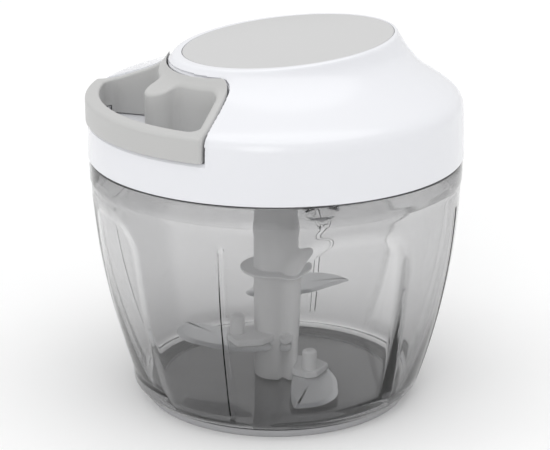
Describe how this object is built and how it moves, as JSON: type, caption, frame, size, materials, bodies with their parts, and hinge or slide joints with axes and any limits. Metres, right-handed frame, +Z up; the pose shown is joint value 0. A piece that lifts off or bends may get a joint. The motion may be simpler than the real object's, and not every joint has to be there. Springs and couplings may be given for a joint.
{
  "type": "manual pull-cord food chopper",
  "caption": "Hand food chopper: a clear bowl with a bladed stem under a domed lid whose pull handle and cord spin the blades.",
  "frame": {"origin": "centre of the circle that the foot ring stands on", "axes": "+Z up along the stem, -Y towards the pull handle, +X to the right as seen from behind the handle"},
  "size_m": [0.1334, 0.1338, 0.1325],
  "materials": {
    "white_abs": "glossy moulded ABS",
    "grey_abs": "satin moulded ABS",
    "plate_grey": "fine satin",
    "smoke_clear": "clear smoke-tinted SAN plastic",
    "stem_grey": "smooth moulded polypropylene",
    "blade_steel": "fine ground stainless steel",
    "pin_steel": "polished stainless steel",
    "zinc_screw": "zinc-plated",
    "spring_steel": "blued strip",
    "seal_rubber": "matt silicone",
    "foot_rubber": "matt soft TPE",
    "acetal": "waxy moulded acetal",
    "reel_nylon": "satin moulded nylon",
    "cord_white": "braided nylon"
  },
  "bodies": {
    "bowl": {"bowl": "smoke_clear", "spindle_pin": "pin_steel", "foot_ring": "foot_rubber"},
    "lid": {"lid_cover": "white_abs", "top_plate": "plate_grey", "lid_base": "white_abs", "lid_seal": "seal_rubber", "lid_screws": "zinc_screw", "hub_bush": "acetal", "spring_case": "acetal", "case_screws": "zinc_screw", "spring_cover": "acetal", "recoil_spring": "spring_steel", "reel_axle": "pin_steel", "cord_eyelet": "acetal", "cord_lead": "cord_white"},
    "handle": {"pull_handle": "grey_abs", "knot_plug": "grey_abs", "cord_knot": "cord_white", "cord_run": "cord_white"},
    "reel": {"cord_reel": "reel_nylon", "cord_winding": "cord_white"},
    "drive": {"drive_hub": "reel_nylon", "drive_socket": "acetal", "pawl_pins": "pin_steel"},
    "pawl_a": {"pawl_a": "acetal"},
    "pawl_b": {"pawl_b": "acetal"},
    "blade_carrier": {"stem_bush": "acetal"},
    "blades": {"blade_stem": "stem_grey", "blade_low": "blade_steel", "blade_middle": "blade_steel", "blade_high": "blade_steel", "peg_low": "stem_grey", "peg_middle": "stem_grey", "peg_high": "stem_grey"}
  },
  "joints": [
    {"name": "lid_lift", "type": "slide", "parent": "bowl", "child": "lid", "axis": [0, 0, 1], "range_m": [0, 0.22]},
    {"name": "handle_pull", "type": "slide", "parent": "lid", "child": "handle", "axis": [0, -1, 0], "range_m": [0, 0.5], "deforming": ["cord_run"]},
    {"name": "reel_spin", "type": "hinge", "parent": "lid", "child": "reel", "pos_m": [0, 0, 0.11], "axis": [0, 0, 1], "range_deg": [0, 1440], "deforming": ["recoil_spring"]},
    {"name": "drive_spin", "type": "hinge", "parent": "lid", "child": "drive", "pos_m": [0, 0, 0.1], "axis": [0, 0, 1], "range_deg": [0, 1440]},
    {"name": "pawl_a_swing", "type": "hinge", "parent": "drive", "child": "pawl_a", "pos_m": [0.0125, 0, 0.103], "axis": [0, 0, 1], "range_deg": [-14, 0]},
    {"name": "pawl_b_swing", "type": "hinge", "parent": "drive", "child": "pawl_b", "pos_m": [-0.0125, 0, 0.103], "axis": [0, 0, 1], "range_deg": [-14, 0]},
    {"name": "blade_lift", "type": "slide", "parent": "bowl", "child": "blade_carrier", "axis": [0, 0, 1], "range_m": [0, 0.1]},
    {"name": "blade_spin", "type": "hinge", "parent": "blade_carrier", "child": "blades", "pos_m": [0, 0, 0.05], "axis": [0, 0, 1], "range_deg": [0, 1440]}
  ],
  "couplings": [
    {"joint": "reel_spin", "follows": "handle_pull", "rad_per_m": 50},
    {"joint": "drive_spin", "follows": "handle_pull", "rad_per_m": 50},
    {"joint": "blade_spin", "follows": "handle_pull", "rad_per_m": 50},
    {"joint": "pawl_b_swing", "follows": "pawl_a_swing", "ratio": 1},
    {"joint": "blade_lift", "follows": "lid_lift", "ratio": 0.45}
  ]
}
